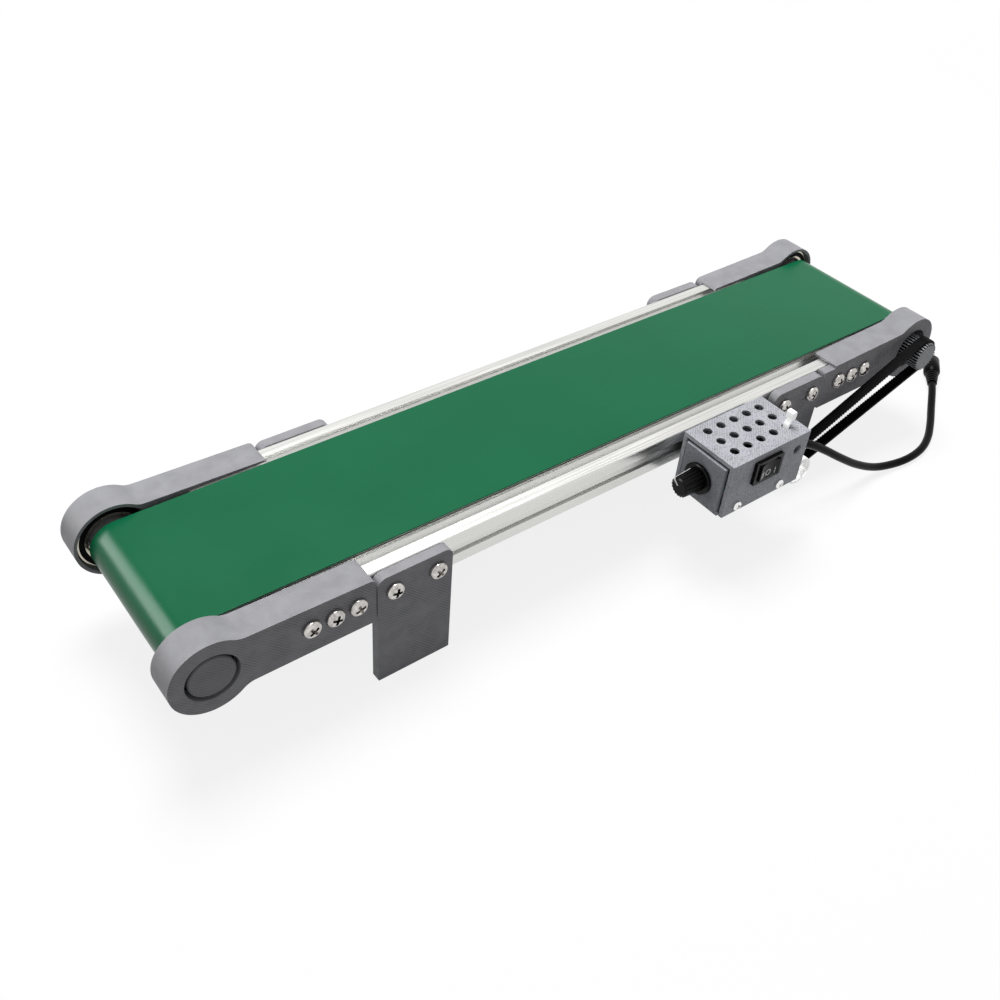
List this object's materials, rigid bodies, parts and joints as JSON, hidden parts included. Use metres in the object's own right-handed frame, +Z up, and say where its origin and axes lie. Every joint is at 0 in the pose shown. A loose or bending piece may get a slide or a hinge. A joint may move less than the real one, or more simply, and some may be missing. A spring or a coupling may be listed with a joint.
{
  "type": "belt conveyor section",
  "caption": "Small bench belt conveyor: a green belt over a flat bed between slotted rails, printed roller brackets and feet, a side timing-belt drive and a control box with its power lead.",
  "frame": {"origin": "on the surface that the feet stand on, under the middle of the conveyor's own box without its power lead", "axes": "+X along the belt from the tail roller to the driven head roller, +Y from the drive and control box side to the plain side, +Z up"},
  "size_m": [0.5883, 0.1622, 0.0855],
  "materials": {
    "aluminium": "clear anodised, fine lengthwise extrusion lines",
    "bed_sheet": "plain sheet, hidden under the belt",
    "grey_print": "3-D printed, fine layer lines",
    "box_print": "3-D printed, slightly speckled, fine layer lines",
    "bearing_steel": "ground steel",
    "belt_pvc": "smooth PVC conveyor belting, satin",
    "nickel_steel": "nickel plated",
    "pulley_aluminium": "turned",
    "motor_steel": "zinc plated",
    "black_rubber": "dull",
    "black_plastic": "moulded, fine texture",
    "gloss_black": "polished",
    "white_nylon": "natural nylon",
    "circuit_board": "green solder mask"
  },
  "bodies": {
    "conveyor": {"rail_near": "aluminium", "rail_far": "aluminium", "cross_tie_tail": "aluminium", "cross_tie_head": "aluminium", "slider_bed": "bed_sheet", "tail_bracket_near": "grey_print", "tail_bracket_far": "grey_print", "head_bracket_near": "grey_print", "head_bracket_far": "grey_print", "tail_foot_near": "grey_print", "tail_foot_far": "grey_print", "head_foot_far": "grey_print", "motor_plate": "grey_print", "tail_bearing_near": "bearing_steel", "tail_bearing_far": "bearing_steel", "head_bearing_near": "bearing_steel", "head_bearing_far": "bearing_steel", "conveyor_belt": "belt_pvc", "tail_bracket_screw_near_1": "nickel_steel", "tail_bracket_screw_near_2": "nickel_steel", "tail_bracket_screw_near_3": "nickel_steel", "tail_bracket_screw_far_1": "nickel_steel", "tail_bracket_screw_far_2": "nickel_steel", "tail_bracket_screw_far_3": "nickel_steel", "head_bracket_screw_near_1": "nickel_steel", "head_bracket_screw_near_2": "nickel_steel", "head_bracket_screw_near_3": "nickel_steel", "head_bracket_screw_far_1": "nickel_steel", "head_bracket_screw_far_2": "nickel_steel", "head_bracket_screw_far_3": "nickel_steel", "tail_foot_screw_near_1": "nickel_steel", "tail_foot_screw_near_2": "nickel_steel", "tail_foot_screw_far_1": "nickel_steel", "tail_foot_screw_far_2": "nickel_steel", "head_foot_screw_near_1": "nickel_steel", "head_foot_screw_near_2": "nickel_steel", "head_foot_screw_far_1": "nickel_steel", "head_foot_screw_far_2": "nickel_steel", "box_screw_1": "nickel_steel", "box_screw_2": "nickel_steel", "gear_motor": "motor_steel", "potentiometer": "motor_steel", "timing_belt": "black_rubber", "cord_grommet": "black_rubber", "power_cord": "black_rubber", "box_cover": "box_print", "box_base": "box_print", "box_mount": "box_print", "switch_housing": "black_plastic", "dc_plug": "black_plastic", "speed_board": "circuit_board", "cable_tie": "white_nylon", "tie_loop": "white_nylon"},
    "drive_roller": {"drive_roller": "grey_print", "drive_pulley": "grey_print"},
    "tail_roller": {"tail_roller": "grey_print"},
    "motor_spindle": {"motor_shaft": "nickel_steel", "motor_pulley": "pulley_aluminium"},
    "speed_knob": {"speed_knob": "black_plastic"},
    "rocker": {"rocker": "gloss_black"}
  },
  "joints": [
    {"name": "drive_roller_turn", "type": "hinge", "parent": "conveyor", "child": "drive_roller", "pos_m": [0.239, 0.01825, 0.0577], "axis": [0, 1, 0], "continuous": true},
    {"name": "tail_roller_turn", "type": "hinge", "parent": "conveyor", "child": "tail_roller", "pos_m": [-0.239, 0.01825, 0.0577], "axis": [0, 1, 0], "continuous": true},
    {"name": "motor_turn", "type": "hinge", "parent": "conveyor", "child": "motor_spindle", "pos_m": [0.131, 0.01825, 0.0173], "axis": [0, 1, 0], "continuous": true},
    {"name": "speed_knob_turn", "type": "hinge", "parent": "conveyor", "child": "speed_knob", "pos_m": [0.0339, -0.05805, 0.0562], "axis": [1, 0, 0], "range_deg": [-97, 203]},
    {"name": "rocker_tilt", "type": "hinge", "parent": "conveyor", "child": "rocker", "pos_m": [0.0631, -0.07665, 0.0646], "axis": [0, 0, 1], "range_deg": [-12, 12]}
  ],
  "couplings": [
    {"joint": "tail_roller_turn", "follows": "drive_roller_turn", "ratio": 1},
    {"joint": "motor_turn", "follows": "drive_roller_turn", "ratio": 1.5}
  ]
}
